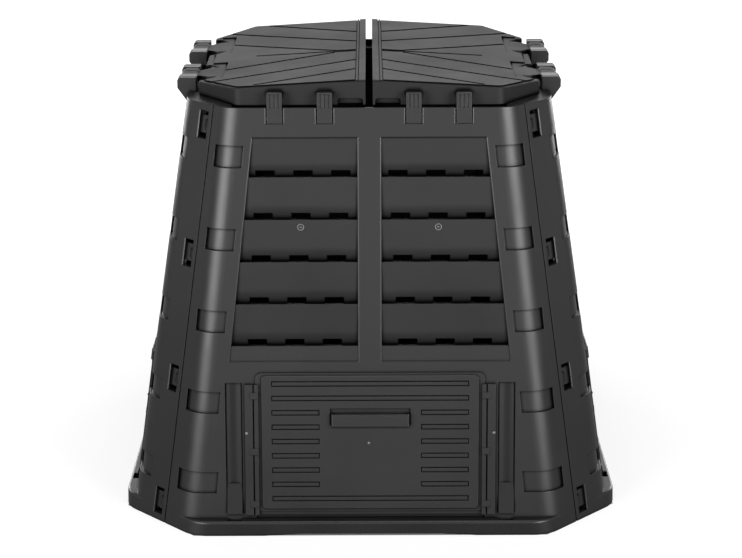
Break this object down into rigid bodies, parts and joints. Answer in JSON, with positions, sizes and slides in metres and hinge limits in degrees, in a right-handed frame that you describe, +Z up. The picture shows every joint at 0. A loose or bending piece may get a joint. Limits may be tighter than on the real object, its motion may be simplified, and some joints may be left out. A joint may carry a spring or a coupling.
{
  "type": "compost bin with lid",
  "caption": "Square tapered garden compost bin with louvred walls, sliding access hatches at the foot and a lid of two hinged flaps.",
  "frame": {"origin": "middle of the square footprint, on the ground", "axes": "+Z up, -Y towards the front wall, +X towards the right wall; the lid flaps meet along Y"},
  "size_m": [0.933, 0.933, 0.8231],
  "materials": {
    "moulded_plastic": "satin black polypropylene",
    "lid_plastic": "fine grained satin black polypropylene",
    "pin_plastic": "smooth black polyamide"
  },
  "bodies": {
    "bin": {"front_wall": "moulded_plastic", "rear_wall": "moulded_plastic", "left_wall": "moulded_plastic", "right_wall": "moulded_plastic", "left_front_hinge_pin": "pin_plastic", "left_rear_hinge_pin": "pin_plastic", "right_front_hinge_pin": "pin_plastic", "right_rear_hinge_pin": "pin_plastic"},
    "left_lid": {"left_lid": "lid_plastic"},
    "right_lid": {"right_lid": "lid_plastic"},
    "front_hatch": {"front_hatch": "moulded_plastic"},
    "rear_hatch": {"rear_hatch": "moulded_plastic"},
    "left_hatch": {"left_hatch": "moulded_plastic"},
    "right_hatch": {"right_hatch": "moulded_plastic"},
    "front_lid_latch_1": {"front_lid_latch_1": "moulded_plastic"},
    "front_lid_latch_2": {"front_lid_latch_2": "moulded_plastic"},
    "front_lid_latch_3": {"front_lid_latch_3": "moulded_plastic"},
    "front_lid_latch_4": {"front_lid_latch_4": "moulded_plastic"},
    "rear_lid_latch_1": {"rear_lid_latch_1": "moulded_plastic"},
    "rear_lid_latch_2": {"rear_lid_latch_2": "moulded_plastic"},
    "rear_lid_latch_3": {"rear_lid_latch_3": "moulded_plastic"},
    "rear_lid_latch_4": {"rear_lid_latch_4": "moulded_plastic"}
  },
  "joints": [
    {"name": "right_lid_hinge", "type": "hinge", "parent": "bin", "child": "right_lid", "pos_m": [0.3436, 0, 0.7895], "axis": [0, 1, 0], "range_deg": [0, 110]},
    {"name": "left_lid_hinge", "type": "hinge", "parent": "bin", "child": "left_lid", "pos_m": [-0.3436, 0, 0.7895], "axis": [0, -1, 0], "range_deg": [0, 110]},
    {"name": "front_hatch_slide", "type": "slide", "parent": "bin", "child": "front_hatch", "axis": [0, 0.1478, 0.989], "range_m": [0, 0.2]},
    {"name": "rear_hatch_slide", "type": "slide", "parent": "bin", "child": "rear_hatch", "axis": [0, -0.1478, 0.989], "range_m": [0, 0.2]},
    {"name": "left_hatch_slide", "type": "slide", "parent": "bin", "child": "left_hatch", "axis": [0.1478, 0, 0.989], "range_m": [0, 0.2]},
    {"name": "right_hatch_slide", "type": "slide", "parent": "bin", "child": "right_hatch", "axis": [-0.1478, 0, 0.989], "range_m": [0, 0.2]},
    {"name": "front_lid_latch_1_flex", "type": "hinge", "parent": "bin", "child": "front_lid_latch_1", "pos_m": [-0.17, -0.3373, 0.7486], "axis": [1, 0, 0], "range_deg": [0, 7], "stiffness_Nm_per_rad": 3},
    {"name": "front_lid_latch_2_flex", "type": "hinge", "parent": "bin", "child": "front_lid_latch_2", "pos_m": [-0.08, -0.3373, 0.7486], "axis": [1, 0, 0], "range_deg": [0, 7], "stiffness_Nm_per_rad": 3},
    {"name": "front_lid_latch_3_flex", "type": "hinge", "parent": "bin", "child": "front_lid_latch_3", "pos_m": [0.08, -0.3373, 0.7486], "axis": [1, 0, 0], "range_deg": [0, 7], "stiffness_Nm_per_rad": 3},
    {"name": "front_lid_latch_4_flex", "type": "hinge", "parent": "bin", "child": "front_lid_latch_4", "pos_m": [0.17, -0.3373, 0.7486], "axis": [1, 0, 0], "range_deg": [0, 7], "stiffness_Nm_per_rad": 3},
    {"name": "rear_lid_latch_1_flex", "type": "hinge", "parent": "bin", "child": "rear_lid_latch_1", "pos_m": [0.17, 0.3373, 0.7486], "axis": [-1, 0, 0], "range_deg": [0, 7], "stiffness_Nm_per_rad": 3},
    {"name": "rear_lid_latch_2_flex", "type": "hinge", "parent": "bin", "child": "rear_lid_latch_2", "pos_m": [0.08, 0.3373, 0.7486], "axis": [-1, 0, 0], "range_deg": [0, 7], "stiffness_Nm_per_rad": 3},
    {"name": "rear_lid_latch_3_flex", "type": "hinge", "parent": "bin", "child": "rear_lid_latch_3", "pos_m": [-0.08, 0.3373, 0.7486], "axis": [-1, 0, 0], "range_deg": [0, 7], "stiffness_Nm_per_rad": 3},
    {"name": "rear_lid_latch_4_flex", "type": "hinge", "parent": "bin", "child": "rear_lid_latch_4", "pos_m": [-0.17, 0.3373, 0.7486], "axis": [-1, 0, 0], "range_deg": [0, 7], "stiffness_Nm_per_rad": 3}
  ]
}
